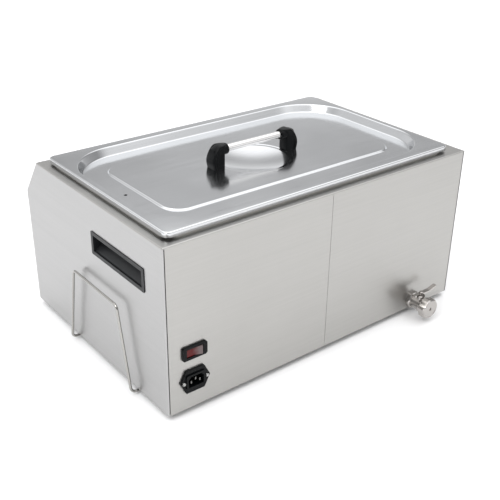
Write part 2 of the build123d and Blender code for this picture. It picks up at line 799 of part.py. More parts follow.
lid_outside = lid_form(0.0, 0.0)
lid_inside = lid_form(lid_sheet, lid_sheet)
handle_screw_x = 70.0
vent_x = tank_x + 229.0
vent_y = tank_y + 5.0
with BuildPart() as lid_shell:
    add(lid_outside.part)
    add(lid_inside.part, mode=Mode.SUBTRACT)
    with BuildSketch(Plane.XY.offset(form_bottom - 5)) as below_skirt:
        with Locations((tank_x, tank_y)):
            Rectangle(lid_length + 20, lid_width + 20)
            Rectangle(lid_length - 20, lid_width - 20, mode=Mode.SUBTRACT)
    extrude(amount=lid_top - lid_skirt - form_bottom + 5, mode=Mode.SUBTRACT)
    for side in (-1, 1):
        x = tank_x + side * handle_screw_x
        tube_z(x, tank_y, (plateau_top - 5, plateau_top + 5), 2.7, mode=Mode.SUBTRACT)
    tube_z(vent_x, vent_y, (well_floor - 5, well_floor + 5), 2.5, mode=Mode.SUBTRACT)

# Lid handle: a steel bar between two moulded brackets with rounded shoulders.
bar_radius = 5.5
bar_z = plateau_top + 26.5
bracket_width = 22.0
bracket_height = 35.0
collar_end = 51.5
collar_under = 18.0
leg_inner = 60.0
leg_outer = 80.0
shoulder = 66.0
bar_half = 66.0
screw_depth = 14.0


def handle_bracket(side):
    """One bracket of the lid handle; side is +1 or -1 along X."""
    bracket_plane = Plane(
        origin=(tank_x, tank_y + bracket_width / 2, plateau_top),
        x_dir=(side, 0, 0),
        z_dir=(0, -side, 0),
    )
    with BuildPart() as bracket:
        with BuildSketch(bracket_plane):
            with BuildLine():
                Line((leg_inner, 0), (leg_outer, 0))
                Spline(
                    (leg_outer, 0),
                    (leg_outer + 2.0, 11),
                    (leg_outer - 1.0, 23),
                    (shoulder, bracket_height),
                    tangents=((0.25, 1), (-1, 0)),
                )
                Line((shoulder, bracket_height), (collar_end, bracket_height))
                Line((collar_end, bracket_height), (collar_end, collar_under))
                Line((collar_end, collar_under), (leg_inner, collar_under))
                Line((leg_inner, collar_under), (leg_inner, 0))
            make_face()
        extrude(amount=side * bracket_width)
        crown = bracket.edges().filter_by(lambda edge: edge.center().Z > plateau_top + 8)
        sides = crown.filter_by(lambda edge: abs(abs(edge.center().Y - tank_y) - bracket_width / 2) < 0.1)
        outer = sides.filter_by(lambda edge: abs(edge.center().X - tank_x) > leg_inner)
        fillet(outer, radius=3.0)
        with Locations(Location((tank_x, tank_y, bar_z), (0, 90, 0))):
            Cylinder(bar_radius, 2 * bar_half, mode=Mode.SUBTRACT)
        tube_z(
            tank_x + side * handle_screw_x,
            tank_y,
            (plateau_top, plateau_top + screw_depth),
            2.4,
            mode=Mode.SUBTRACT,
        )
    return bracket


right_handle_bracket = handle_bracket(1)
left_handle_bracket = handle_bracket(-1)

with BuildPart() as handle_bar:
    with Locations(Location((tank_x, tank_y, bar_z), (0, 90, 0))):
        Cylinder(bar_radius, 2 * bar_half)

screw_head_z = plateau_top - lid_sheet
with BuildPart() as handle_screws:
    for side in (-1, 1):
        x = tank_x + side * handle_screw_x
        tube_z(x, tank_y, (screw_head_z - 2.6, screw_head_z), 4.6)
        tube_z(x, tank_y, (screw_head_z, plateau_top + screw_depth), 2.4)

# ================================ controls =======================================================
key_hole = key_radius + 0.3
rim_depth = 6.0
with BuildPart() as control_bezel:
    with BuildSketch(fascia):
        RectangleRounded(bezel_length, bezel_width, 5)
    extrude(amount=bezel_thickness)
    fillet(control_bezel.faces().sort_by(Axis((0, 0, 0), tuple(fascia.z_dir)))[-1].edges(), radius=1)
    with BuildSketch(fascia.offset(-rim_depth)):
        Rectangle(bezel_cut_length - 0.8, bezel_cut_width - 0.8)
        Rectangle(bezel_cut_length - 4.8, bezel_cut_width - 4.8, mode=Mode.SUBTRACT)
    extrude(amount=rim_depth)
    with BuildSketch(fascia.offset(-1)):
        with Locations((window_x, 0)):
            Rectangle(window_length, window_width)
        for x in key_places.values():
            with Locations((x, 0)):
                Circle(key_hole)
    extrude(amount=8, mode=Mode.SUBTRACT)

with BuildPart() as display_window:
    with BuildSketch(fascia):
        with Locations((window_x, 0)):
            Rectangle(window_length, window_width)
    extrude(amount=bezel_thickness - 0.6)


def key(x):
    """One push key: a cap in the bezel's hole, a retaining collar and a stem behind it."""
    with BuildPart() as plunger:
        with BuildSketch(fascia.offset(-2.2)):
            with Locations((x, 0)):
                Circle(key_radius)
        extrude(amount=bezel_thickness + 2.2 + 1.4)
        fillet(plunger.faces().sort_by(Axis((0, 0, 0), tuple(fascia.z_dir)))[-1].edges(), radius=0.8)
        with BuildSketch(fascia.offset(-2.2)):
            with Locations((x, 0)):
                Circle(key_radius + 1.3)
        extrude(amount=1.8)
        with BuildSketch(fascia.offset(-7)):
            with Locations((x, 0)):
                Circle(1.8)
        extrude(amount=5)
    return plunger


keys = {}
for name, x in key_places.items():
    keys[name] = key(x)

board_back = -12.0
board_front = -10.4
connector_back = -18.0
with BuildPart() as control_board:
    with BuildSketch(fascia.offset(board_back)):
        Rectangle(150, 36)
    extrude(amount=board_front - board_back)
    with BuildSketch(fascia.offset(board_front)):
        with Locations((window_x, 0)):
            Rectangle(window_length - 6, window_width - 4)
    extrude(amount=-board_front - 1)
    with BuildSketch(fascia.offset(connector_back)):
        with Locations((-50, -8), (50, -8)):
            Rectangle(14, 8)
    extrude(amount=board_back - connector_back)

with BuildPart() as board_standoffs:
    with BuildSketch(fascia.offset(board_front)):
        with GridLocations(132, 31, 2, 2):
            Circle(2.0)
    extrude(amount=-board_front)

# ================================ internal leads =================================================
# Sheathed leads with easy bends: inlet to switch, switch to board, board to heater mat.
lead_radius = 3.0
terminal_x = 5.5
drop_y = front + 42.2


def lead(points, radii, start_dir):
    """A round lead along straight runs joined by tangent arcs."""
    with BuildPart() as run:
        with BuildLine() as route:
            FilletPolyline(*points, radius=radii)
        with BuildSketch(Plane(origin=points[0], z_dir=start_dir)):
            Circle(lead_radius)
        sweep(path=route.line)
    return run


def board_end(x):
    """Where a lead meets its connector on the back of the board, and where it turns down."""
    plug = fascia.from_local_coords(Vector(x, -8, connector_back))
    turn = fascia.from_local_coords(Vector(x, -8, connector_back - 12))
    return tuple(plug), tuple(turn)


supply_lead = lead(
    [
        (inlet_x, back - 33, inlet_z),
        (inlet_x, back - 62, inlet_z),
        (switch_x + terminal_x, back - 62, switch_z),
        (switch_x + terminal_x, back - 29, switch_z),
    ],
    [14, 14],
    (0, -1, 0),
)
board_plug, board_turn = board_end(50)
switch_to_board = lead(
    [
        (switch_x - terminal_x, back - 29, switch_z),
        (switch_x - terminal_x, back - 58, switch_z),
        (board_turn[0], board_turn[1], 75),
        board_turn,
        board_plug,
    ],
    [20, 25, 10],
    (0, -1, 0),
)
heater_plug, heater_turn = board_end(-50)
heater_lead_z = heater_z[0] - 1.0
board_to_heater = lead(
    [
        heater_plug,
        heater_turn,
        (heater_turn[0], heater_turn[1], heater_lead_z),
        (heater_turn[0], tank_y - heater_width / 2, heater_lead_z),
    ],
    [10, 15],
    tuple(-fascia.z_dir),
)
with BuildPart() as control_leads:
    add(switch_to_board.part)
    add(board_to_heater.part)

# ================================ output =========================================================
pieces = {
    "top_deck": top_deck,
    "right_end_panel": right_end_panel,
    "left_end_panel": left_end_panel,
    "rear_panel_right": rear_panel_right,
    "rear_panel_left": rear_panel_left,
    "rear_joint_strips": rear_joint_strips,
    "front_panel": front_panel,
    "base_plate": base_plate,
    "base_screws": base_screws,
    "rubber_feet": rubber_feet,
    "foot_screws": foot_screws,
    "deck_collar": deck_collar,
    "wax_tank": wax_tank,
    "protective_grid": protective_grid,
    "heater_mat": heater_mat,
    "bottom_insulation": bottom_insulation,
    "side_insulation": side_insulation,
    "temperature_probe": temperature_probe,
    "thermal_cutout": thermal_cutout,
    "drain_pipe": drain_pipe,
    "tap_body": tap_body,
    "tap_wall_nut": tap_wall_nut,
    "tap_gasket": tap_gasket,
    "tap_lock_nut": tap_lock_nut,
    "tap_seats": tap_seats,
    "tap_nipple": tap_nipple,
    "tap_ball": tap_ball,
    "tap_stem": tap_stem,
    "tap_gland_nut": tap_gland_nut,
    "tap_lever": tap_lever,
    "tap_lever_screw": tap_lever_screw,
    "tap_cap": tap_cap,
    "tap_cap_gasket": tap_cap_gasket,
    "inlet_body": inlet_body,
    "inlet_pins": inlet_pins,
    "inlet_screws": inlet_screws,
    "switch_housing": switch_housing,
    "switch_rocker": switch_rocker,
    "switch_terminals": switch_terminals,
    "right_handle_cup": right_handle_cup,
    "left_handle_cup": left_handle_cup,
    "lid_stand": lid_stand,
    "stand_clips": stand_clips,
    "stand_clip_screws": stand_clip_screws,
    "lid_shell": lid_shell,
    "handle_bar": handle_bar,
    "right_handle_bracket": right_handle_bracket,
    "left_handle_bracket": left_handle_bracket,
    "handle_screws": handle_screws,
    "control_bezel": control_bezel,
    "display_window": display_window,
    "control_board": control_board,
    "board_standoffs": board_standoffs,
    "supply_lead": supply_lead,
    "control_leads": control_leads,
}
pieces.update(keys)

for name, piece in pieces.items():
    piece.part.label = name
    export_step(piece.part, f"parts/{name}.step")
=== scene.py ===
import math

import bpy
import bmesh
from mathutils import Matrix, Vector, noise


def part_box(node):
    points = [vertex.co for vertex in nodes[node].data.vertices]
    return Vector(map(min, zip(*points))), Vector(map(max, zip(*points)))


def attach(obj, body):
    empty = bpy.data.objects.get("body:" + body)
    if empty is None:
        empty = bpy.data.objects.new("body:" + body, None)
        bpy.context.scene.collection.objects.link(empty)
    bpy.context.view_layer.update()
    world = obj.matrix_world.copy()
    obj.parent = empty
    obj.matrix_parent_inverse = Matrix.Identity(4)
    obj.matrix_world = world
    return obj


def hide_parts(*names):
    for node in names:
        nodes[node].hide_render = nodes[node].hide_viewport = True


# Looks for a stainless wax bath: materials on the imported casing, and finer pieces where the
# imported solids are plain. Helpers work in millimetres; objects are made in metres.
MM = 0.001

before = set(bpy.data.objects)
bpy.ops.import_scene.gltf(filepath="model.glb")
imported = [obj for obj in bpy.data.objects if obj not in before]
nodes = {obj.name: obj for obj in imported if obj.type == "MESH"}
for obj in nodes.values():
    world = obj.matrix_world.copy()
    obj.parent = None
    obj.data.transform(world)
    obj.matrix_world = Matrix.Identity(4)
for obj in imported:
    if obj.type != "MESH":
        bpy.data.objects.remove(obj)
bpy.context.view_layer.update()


# ---- node materials -------------------------------------------------------------------------
def blank(name):
    """A new material, its node tree and its shader."""
    made = bpy.data.materials.new(name)
    made.use_nodes = True
    tree = made.node_tree
    return made, tree, tree.nodes["Principled BSDF"]


def add_node(tree, kind, **inputs):
    """A node with named sockets set."""
    made = tree.nodes.new(kind)
    for key, value in inputs.items():
        made.inputs[key.replace("_", " ")].default_value = value
    return made


def object_noise(tree, scale, detail=3.0, rough=0.55, stretch=(1, 1, 1), distort=0.0):
    """Noise that stays with its object; scale is cycles per metre."""
    place = tree.nodes.new("ShaderNodeTexCoord")
    mapping = add_node(tree, "ShaderNodeMapping")
    mapping.inputs["Scale"].default_value = [scale * s for s in stretch]
    tree.links.new(place.outputs["Object"], mapping.inputs["Vector"])
    made = add_node(
        tree, "ShaderNodeTexNoise", Scale=1.0, Detail=detail, Roughness=rough, Distortion=distort
    )
    tree.links.new(mapping.outputs["Vector"], made.inputs["Vector"])
    return made.outputs["Fac"]


def spread(tree, value, low, high, from_low=0.3, from_high=0.7):
    """A value stretched to a range, held at its ends."""
    made = add_node(tree, "ShaderNodeMapRange")
    made.inputs["From Min"].default_value = from_low
    made.inputs["From Max"].default_value = from_high
    made.inputs["To Min"].default_value = low
    made.inputs["To Max"].default_value = high
    tree.links.new(value, made.inputs["Value"])
    return made.outputs["Result"]


def combine(tree, a, b, kind="ADD"):
    """Two values joined by a maths node; b may be a number."""
    made = tree.nodes.new("ShaderNodeMath")
    made.operation = kind
    tree.links.new(a, made.inputs[0])
    if isinstance(b, (int, float)):
        made.inputs[1].default_value = b
    else:
        tree.links.new(b, made.inputs[1])
    return made.outputs[0]


def between(tree, value, dark, light):
    """A colour between two, by a value from 0 to 1."""
    ramp = tree.nodes.new("ShaderNodeValToRGB")
    ramp.color_ramp.elements[0].color = (*dark, 1)
    ramp.color_ramp.elements[1].color = (*light, 1)
    tree.links.new(value, ramp.inputs["Fac"])
    return ramp.outputs["Color"]


def bump(tree, shader, height, distance, strength=1.0):
    """Bump from a height value, in metres of relief."""
    made = add_node(tree, "ShaderNodeBump", Strength=strength, Distance=distance)
    tree.links.new(height, made.inputs["Height"])
    tree.links.new(made.outputs["Normal"], shader.inputs["Normal"])


def steel(name, dark, light, rough, brushed, grain=420.0, relief=1.5e-6, smudge=0.04, waves=0.0):
    """Stainless sheet, brushed along one axis, with faint smudges and slow waves in the sheet."""
    made, tree, shader = blank(name)
    shader.inputs["Metallic"].default_value = 1.0
    stretch = [0.012 if axis == brushed else 1.0 for axis in "XYZ"]
    lines = object_noise(tree, grain, 4.0, 0.7, stretch)
    streaks = object_noise(tree, grain * 0.22, 3.0, 0.6, [s if s == 1 else 0.03 for s in stretch])
    clouds = object_noise(tree, 9.0, 3.0, 0.5)
    tone = combine(tree, spread(tree, lines, 0.0, 0.55), spread(tree, clouds, 0.0, 0.45))
    tree.links.new(between(tree, tone, dark, light), shader.inputs["Base Color"])
    gloss = combine(
        tree,
        spread(tree, streaks, rough - 0.02, rough + 0.02),
        spread(tree, clouds, -smudge / 2, smudge),
    )
    gloss = combine(tree, gloss, spread(tree, lines, -0.015, 0.015))
    tree.links.new(gloss, shader.inputs["Roughness"])
    height = combine(tree, lines, spread(tree, streaks, 0.0, 1.0))
    if waves:
        swell = object_noise(tree, 5.0, 1.0, 0.4)
        height = combine(tree, height, combine(tree, swell, waves / relief, "MULTIPLY"))
    bump(tree, shader, height, relief)
    return made


def moulded(name, dark, light, rough, grain=900.0, relief=2e-5, clear=0.0, spec=0.35):
    """Moulded plastic with a fine spark-eroded grain and slight wear in its gloss."""
    made, tree, shader = blank(name)
    pits = object_noise(tree, grain, 2.0, 0.6)
    worn = object_noise(tree, 30.0, 3.0, 0.6)
    tree.links.new(between(tree, worn, dark, light), shader.inputs["Base Color"])
    gloss = combine(
        tree,
        spread(tree, worn, rough - 0.06, rough + 0.06),
        spread(tree, pits, -0.03, 0.03),
    )
    tree.links.new(gloss, shader.inputs["Roughness"])
    shader.inputs["Specular IOR Level"].default_value = spec
    if clear:
        shader.inputs["Coat Weight"].default_value = clear
        shader.inputs["Coat Roughness"].default_value = 0.08
    bump(tree, shader, pits, relief)
    return made


def lens(name, shaded_red, pale, split, width):
    """Glossy red rocker: dark red at its +X end, its own red with painted shade on the pressed
    half; clear and pale past the split, a painted highlight on the raised half.
    """
    made, tree, shader = blank(name)
    place = tree.nodes.new("ShaderNodeTexCoord")
    parts = tree.nodes.new("ShaderNodeSeparateXYZ")
    tree.links.new(place.outputs["Object"], parts.inputs["Vector"])
    ripple = object_noise(tree, 260.0, 2.0, 0.5)
    along = combine(tree, parts.outputs["X"], spread(tree, ripple, -0.0012, 0.0012))
    share = spread(tree, along, 1.0, 0.0, split - width, split + width)
    tree.links.new(between(tree, share, shaded_red, pale), shader.inputs["Base Color"])
    tree.links.new(spread(tree, ripple, 0.08, 0.16), shader.inputs["Roughness"])
    shader.inputs["Specular IOR Level"].default_value = 0.2
    shader.inputs["Coat Weight"].default_value = 0.12
    shader.inputs["Coat Roughness"].default_value = 0.04
    bump(tree, shader, ripple, 6e-6)
    return made


def felt(name, dark, light):
    """Matted fibre."""
    made, tree, shader = blank(name)
    fibres = object_noise(tree, 700.0, 5.0, 0.75, (1, 1, 0.3), 1.5)
    tree.links.new(between(tree, fibres, dark, light), shader.inputs["Base Color"])
    shader.inputs["Roughness"].default_value = 0.95
    shader.inputs["Sheen Weight"].default_value = 0.3
    bump(tree, shader, fibres, 4e-4)
    return made


def circuit(name):
    """Green lacquered board with a fine pattern of tracks."""
    made, tree, shader = blank(name)
    cells = add_node(tree, "ShaderNodeTexVoronoi", Scale=420.0)
    place = tree.nodes.new("ShaderNodeTexCoord")
    tree.links.new(place.outputs["Object"], cells.inputs["Vector"])
    tone = between(tree, cells.outputs["Distance"], (0.02, 0.16, 0.06), (0.01, 0.07, 0.03))
    tree.links.new(tone, shader.inputs["Base Color"])
    gloss = spread(tree, cells.outputs["Distance"], 0.2, 0.4, 0, 1)
    tree.links.new(gloss, shader.inputs["Roughness"])
    bump(tree, shader, cells.outputs["Distance"], 5e-5)
    return made


def floor_cover():
    """Pale matt floor, very slightly uneven."""
    made, tree, shader = blank("pale_floor")
    cloud = object_noise(tree, 2.0, 3.0, 0.5)
    tone = between(tree, cloud, (0.88, 0.88, 0.88), (0.92, 0.92, 0.92))
    tree.links.new(tone, shader.inputs["Base Color"])
    shader.inputs["Roughness"].default_value = 0.9
    shader.inputs["Specular IOR Level"].default_value = 0.1
    return made


# The rocker's middle along X in its own object coordinates, where its painted shade gives way to
# its painted highlight.
rocker_low, rocker_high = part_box("switch_rocker")
rocker_x = (rocker_low.x + rocker_high.x) / 2 - nodes["switch_rocker"].location.x

look = {
    "sheet_x": steel(
        "steel_brushed_x", (0.415, 0.409, 0.394), (0.460, 0.454, 0.438), 0.33, "X", waves=3e-5
    ),
    "sheet_y": steel(
        "steel_brushed_y", (0.405, 0.404, 0.402), (0.450, 0.449, 0.447), 0.33, "Y", waves=3e-5
    ),
    "lid": steel(
        "steel_lid", (0.60, 0.61, 0.62), (0.66, 0.67, 0.68), 0.145, "X", 520.0, 1e-6
    ),
    "tank": steel("steel_tank", (0.46, 0.46, 0.45), (0.54, 0.54, 0.53), 0.34, "X"),
    "wire": steel("steel_wire", (0.34, 0.335, 0.32), (0.44, 0.43, 0.41), 0.13, "Y", 900.0),
    "bar": steel("steel_bar", (0.70, 0.69, 0.68), (0.80, 0.79, 0.78), 0.09, "X", 900.0),
    "nickel": steel(
        "nickel_plate", (0.42, 0.40, 0.385), (0.52, 0.50, 0.48), 0.13, "Y", 700.0, 4e-6
    ),
    "screw": steel("steel_screw", (0.40, 0.40, 0.39), (0.52, 0.52, 0.51), 0.25, "Z", 1500.0),
    "pin": steel("plated_pin", (0.14, 0.14, 0.135), (0.22, 0.215, 0.21), 0.30, "Y", 1500.0),
    "brass": steel("brass_pin", (0.62, 0.52, 0.30), (0.75, 0.64, 0.40), 0.25, "Y", 1500.0),
    "black": moulded(
        "black_moulding", (0.0012, 0.0016, 0.0020), (0.0030, 0.0036, 0.0042), 0.30, spec=0.13
    ),
    "cup": moulded("cup_moulding", (0.006, 0.0068, 0.008), (0.013, 0.0145, 0.016), 0.45),
    "key": moulded("key_moulding", (0.16, 0.17, 0.18), (0.22, 0.23, 0.24), 0.42),
    # Rocker: own red darkened by painted shade at +X, and a pale painted highlight past the
    # middle.
    "red": lens("red_rocker_painted_shade_and_highlight", (0.085, 0.002, 0.002), (0.13, 0.10, 0.10), rocker_x - 0.002, 0.005),
    "window": moulded(
        "smoked_window", (0.006, 0.003, 0.003), (0.014, 0.006, 0.006), 0.10, 500.0, 2e-6,
        clear=1.0, spec=0.5,
    ),
    "rubber": moulded(
        "foot_rubber", (0.008, 0.008, 0.008), (0.020, 0.020, 0.020), 0.75, 1200.0, 6e-5
    ),
    # Near-black for the rear joint strips: painted shade showing in the seam gaps.
    "joint": moulded(
        "seam_gap_painted_shade", (0.004, 0.004, 0.004), (0.010, 0.010, 0.010), 0.8, 600.0, 1e-4
    ),
    "seal": moulded("white_seal", (0.62, 0.62, 0.60), (0.72, 0.72, 0.70), 0.40),
    "mat": moulded("silicone_mat", (0.30, 0.06, 0.03), (0.40, 0.09, 0.04), 0.65, 800.0, 8e-5),
    "lead": moulded("lead_sheath", (0.02, 0.02, 0.02), (0.05, 0.05, 0.05), 0.6, 1500.0, 5e-5),
    "felt": felt("insulation_felt", (0.45, 0.42, 0.36), (0.66, 0.63, 0.56)),
    "board": circuit("circuit_board"),
}

finishes = {
    "top_deck": "sheet_x",
    "right_end_panel": "sheet_y",
    "left_end_panel": "sheet_y",
    "rear_panel_right": "sheet_x",
    "rear_panel_left": "sheet_x",
    "rear_joint_strips": "joint",
    "front_panel": "sheet_x",
    "base_plate": "sheet_x",
    "base_screws": "screw",
    "rubber_feet": "rubber",
    "foot_screws": "screw",
    "deck_collar": "sheet_x",
    "wax_tank": "tank",
    "protective_grid": "tank",
    "heater_mat": "mat",
    "bottom_insulation": "felt",
    "side_insulation": "felt",
    "temperature_probe": "bar",
    "thermal_cutout": "black",
    "drain_pipe": "nickel",
    "tap_body": "nickel",
    "tap_wall_nut": "nickel",
    "tap_gasket": "rubber",
    "tap_lock_nut": "nickel",
    "tap_seats": "seal",
    "tap_nipple": "nickel",
    "tap_ball": "bar",
    "tap_stem": "bar",
    "tap_gland_nut": "nickel",
    "tap_lever": "nickel",
    "tap_lever_screw": "nickel",
    "tap_cap": "nickel",
    "tap_cap_gasket": "rubber",
    "inlet_body": "black",
    "inlet_pins": "pin",
    "inlet_screws": "screw",
    "switch_housing": "black",
    "switch_rocker": "red",
    "switch_terminals": "brass",
    "right_handle_cup": "cup",
    "left_handle_cup": "cup",
    "lid_stand": "wire",
    "stand_clips": "sheet_x",
    "stand_clip_screws": "screw",
    "lid_shell": "lid",
    "handle_bar": "bar",
    "right_handle_bracket": "black",
    "left_handle_bracket": "black",
    "handle_screws": "screw",
    "control_bezel": "black",
    "display_window": "window",
    "control_board": "board",
    "board_standoffs": "brass",
    "supply_lead": "lead",
    "control_leads": "lead",
    "power_key": "key",
    "set_key": "key",
    "down_key": "key",
    "up_key": "key",
}
for name, key in finishes.items():
    for holder in nodes[name].material_slots:
        holder.material = look[key]


# ---- mesh helpers ---------------------------------------------------------------------------
def piece(name, verts, faces, finish, body, sharp=35.0):
    """A mesh piece from millimetre points, shaded smooth below an edge angle."""
    mesh = bpy.data.meshes.new(name)
    mesh.from_pydata([[c * MM for c in v] for v in verts], [], faces)
    mesh.validate()
    form = bmesh.new()
    form.from_mesh(mesh)
    bmesh.ops.recalc_face_normals(form, faces=form.faces)
    form.to_mesh(mesh)
    form.free()
    mesh.shade_smooth()
    mesh.set_sharp_from_angle(angle=math.radians(sharp))
    mesh.materials.append(look[finish])
    made = bpy.data.objects.new(name, mesh)
    bpy.context.scene.collection.objects.link(made)
    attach(made, body)
    return made


def unit_circle(count):
    """Cosine and sine pairs round a circle."""
    turns = [2 * math.pi * k / count for k in range(count)]
    return [(math.cos(t), math.sin(t)) for t in turns]


def loft(rings, close_start=True, close_end=True):
    """Vertices and quads joining rings of equal length; the ends are capped by fans."""
    count = len(rings[0])
    verts = [p for r in rings for p in r]
    faces = []
    for i in range(len(rings) - 1):
        for k in range(count):
            n = (k + 1) % count
            faces.append((i * count + k, i * count + n, (i + 1) * count + n, (i + 1) * count + k))
    for wanted, i in ((close_start, 0), (close_end, len(rings) - 1)):
        if wanted:
            middle = [sum(p[c] for p in rings[i]) / count for c in range(3)]
            verts.append(middle)
            for k in range(count):
                faces.append((i * count + k, i * count + (k + 1) % count, len(verts) - 1))
    return verts, faces


# ---- lid ------------------------------------------------------------------------------------
lid_low, lid_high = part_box("lid_shell")
lid_x = (lid_low.x + lid_high.x) / 2 / MM
lid_y = (lid_low.y + lid_high.y) / 2 / MM
lid_top = lid_high.z / MM
lid_half_x = (lid_high.x - lid_low.x) / 2 / MM
lid_half_y = (lid_high.y - lid_low.y) / 2 / MM
LID_SHEET = 0.8
LID_SKIRT = 7.5
LID_BEND = 2.4
LID_CORNER = 10.0
# The well and the raised field in it: half length, half width and corner radius of the edge,
# the height of the step, and how far inwards its slope runs.
WELL = (256.0, 146.0, 84.0)
WELL_DEPTH = 13.0
WELL_RUN = 6.5
RISE = (212.0, 98.0, 30.0)
RISE_HEIGHT = 2.2
RISE_RUN = 2.0
# The vent's place from the lid's middle, and its radius.
VENT = (229.0, 5.0)
VENT_RADIUS = 2.5
PUNCH_REACH = 6.0
# The dish under the handle: a spherical bowl inside a low rounded step.
DISH_RADIUS = 55.0
DISH_RIM = 60.5
DISH_DEPTH = 7.0
DISH_STEP = 0.7


def rounded_ring(a, b, r, z, corner=16, long=26, short=16):
    """Points round a rounded rectangle about the lid's middle."""
    points = []
    corners = ((a - r, b - r, 0), (r - a, b - r, 90), (r - a, r - b, 180), (a - r, r - b, 270))
    for cx, cy, start in corners:
        for k in range(corner):
            t = math.radians(start + 90 * k / corner)
            points.append((cx + r * math.cos(t), cy + r * math.sin(t), z))
        t = math.radians(start + 90)
        x0, y0 = cx + r * math.cos(t), cy + r * math.sin(t)
        if start in (0, 180):
            x1, y1, count = -x0, y0, long
        else:
            x1, y1, count = x0, -y0, short
        for k in range(count):
            points.append((x0 + (x1 - x0) * k / count, y0 + (y1 - y0) * k / count, z))
    return points


def ramp(t, soft):
    """0 to 1 over t 0 to 1, straight in the middle with rounded ends of length soft."""
    if t <= -soft:
        return 0.0
    if t >= 1 + soft:
        return 1.0
    if t < soft:
        return (t + soft) ** 2 / (4 * soft)
    if t > 1 - soft:
        return 1 - (1 + soft - t) ** 2 / (4 * soft)
    return t


def inset_by(outline, distance):
    """A rounded rectangle's half length, half width and corner, all smaller by a distance."""
    return [size - distance for size in outline]


def lid_rings(drop):
    """Rings from the well's edge to the dish, lowered by drop."""
    top = lid_top - drop
    floor_z = top - WELL_DEPTH
    table_z = floor_z + RISE_HEIGHT
    rings = []
    for k in range(-3, 20):
        s = WELL_RUN * k / 16
        z = top - WELL_DEPTH * ramp(k / 16, 0.12)
        rings.append(rounded_ring(*inset_by(WELL, s), z))
    foot = inset_by(WELL, WELL_RUN * 19 / 16)
    field = inset_by(RISE, -1.0)
    for k in range(1, 5):
        blended = [p + (q - p) * k / 5 for p, q in zip(foot, field)]
        rings.append(rounded_ring(*blended, floor_z))
    for k in range(-4, 13):
        s = RISE_RUN * k / 8
        z = floor_z + RISE_HEIGHT * ramp(k / 8, 0.3)
        rings.append(rounded_ring(*inset_by(RISE, s), z))
    outer = rings[-1]
    edge = DISH_RIM + 2.5
    rays = [(math.cos(math.atan2(y, x)), math.sin(math.atan2(y, x))) for x, y, z in outer]
    for k in range(1, 10):
        t = (k / 10) ** 0.9
        rings.append(
            [
                (x + (edge * c - x) * t, y + (edge * d - y) * t, table_z)
                for (x, y, z), (c, d) in zip(outer, rays)
            ]
        )
    sphere = (DISH_RADIUS**2 + DISH_DEPTH**2) / (2 * DISH_DEPTH)
    rim_radii = [edge - 0.5 * k for k in range(19)]
    bowl_radii = [53.0 - 2.2 * k for k in range(1, 24)]
    for radius in rim_radii + bowl_radii + [1.0]:
        step = -DISH_STEP * ramp((DISH_RIM + 0.8 - radius) / 1.6, 0.4)
        cap = sphere - DISH_DEPTH - math.sqrt(sphere**2 - radius**2)
        bowl = 0.5 * (cap - math.sqrt(cap * cap + 0.02))
        rings.append([(radius * c, radius * d, table_z + step + bowl) for c, d in rays])
    return rings


def lid_outline(inset, drop, bottom):
    """Rings up the skirt and over the top bend."""
    a, b, r = inset_by((lid_half_x, lid_half_y, LID_CORNER), inset)
    bend = LID_BEND - inset
    top = lid_top - drop
    rings = [rounded_ring(a, b, r, bottom), rounded_ring(a, b, r, (bottom + top - bend) / 2)]
    for k in range(9):
        t = math.radians(90 * k / 8)
        cut = bend * (1 - math.cos(t))
        rings.append(rounded_ring(a - cut, b - cut, r - cut, top - bend + bend * math.sin(t)))
    return rings


def pressed(x, y):
    """Slight unevenness that pressing leaves in flat sheet."""
    broad = noise.noise(Vector((x / 90, y / 90, 3.1)))
    fine = noise.noise(Vector((x / 31, y / 31, 7.7)))
    return 0.16 * broad + 0.05 * fine


def pierce(made, centre, radius):
    """Cut a round hole straight down through a piece."""
    start = Vector(centre)
    rings = [
        [start + Vector((radius * c, radius * d, z)) for c, d in unit_circle(40)]
        for z in (-PUNCH_REACH, PUNCH_REACH)
    ]
    verts, faces = loft(rings, True, True)
    data = bpy.data.meshes.new("punch")
    data.from_pydata([[v * MM for v in co] for co in verts], [], faces)
    punch = bpy.data.objects.new("punch", data)
    bpy.context.scene.collection.objects.link(punch)
    cut = made.modifiers.new("vent", "BOOLEAN")
    cut.object = punch
    cut.solver = "EXACT"
    bpy.context.view_layer.update()
    cut_form = made.evaluated_get(bpy.context.evaluated_depsgraph_get())
    pierced = bpy.data.meshes.new_from_object(cut_form)
    made.modifiers.clear()
    made.data = pierced
    bpy.data.objects.remove(punch, do_unlink=True)


def make_lid():
    """The lid: a single pressed sheet with a true underside."""
    skirt_bottom = lid_top - LID_SKIRT
    outside = lid_outline(0.0, 0.0, skirt_bottom) + lid_rings(0.0)
    inside = lid_outline(LID_SHEET, LID_SHEET, skirt_bottom) + lid_rings(LID_SHEET)
    rings = list(reversed(inside)) + outside
    verts, faces = loft(rings, True, True)
    shaped = []
    for x, y, z in verts:
        # Nothing moves at the rim; the full unevenness starts 18 mm in from it.
        from_rim = min(lid_half_x - abs(x), lid_half_y - abs(y))
        inward = min(1.0, max(0.0, from_rim / 14 - 0.3))
        shaped.append((lid_x + x, lid_y + y, z + inward * (pressed(x, y) - 0.08)))
    made = piece("lid_pressing", shaped, faces, "lid", "lid", 40)
    pierce(made, (lid_x + VENT[0], lid_y + VENT[1], lid_top - WELL_DEPTH), VENT_RADIUS)
    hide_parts("lid_shell")


make_lid()


# ---- lid handle -----------------------------------------------------------------------------
bar_low, bar_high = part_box("handle_bar")
bar_z = (bar_low.z + bar_high.z) / 2 / MM
bar_radius = (bar_high.z - bar_low.z) / 2 / MM
bracket_low, bracket_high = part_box("right_handle_bracket")
foot_z = bracket_low.z / MM
bracket_top = bracket_high.z / MM
bracket_half = (bracket_high.y - bracket_low.y) / 2 / MM
